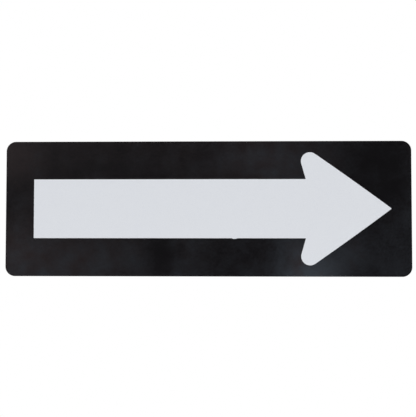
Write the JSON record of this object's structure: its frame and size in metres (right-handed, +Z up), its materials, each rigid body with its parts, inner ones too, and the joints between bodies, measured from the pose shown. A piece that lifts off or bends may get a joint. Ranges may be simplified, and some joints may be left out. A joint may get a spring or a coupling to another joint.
{
  "type": "plastic road sign board",
  "caption": "Wide black plastic sign board with rounded corners and a white reflective arrow on its face.",
  "frame": {"origin": "middle of the board's flat back face, where the sign is fixed to its post or wall", "axes": "+Z up, +X along the board's width, the way the arrow points, +Y out of the back face, so the printed face looks along -Y"},
  "size_m": [0.9144, 0.0032, 0.3048],
  "materials": {
    "board": "satin",
    "arrow_film": "satin"
  },
  "bodies": {
    "root": {"board": "board", "arrow_film": "arrow_film"}
  },
  "joints": []
}
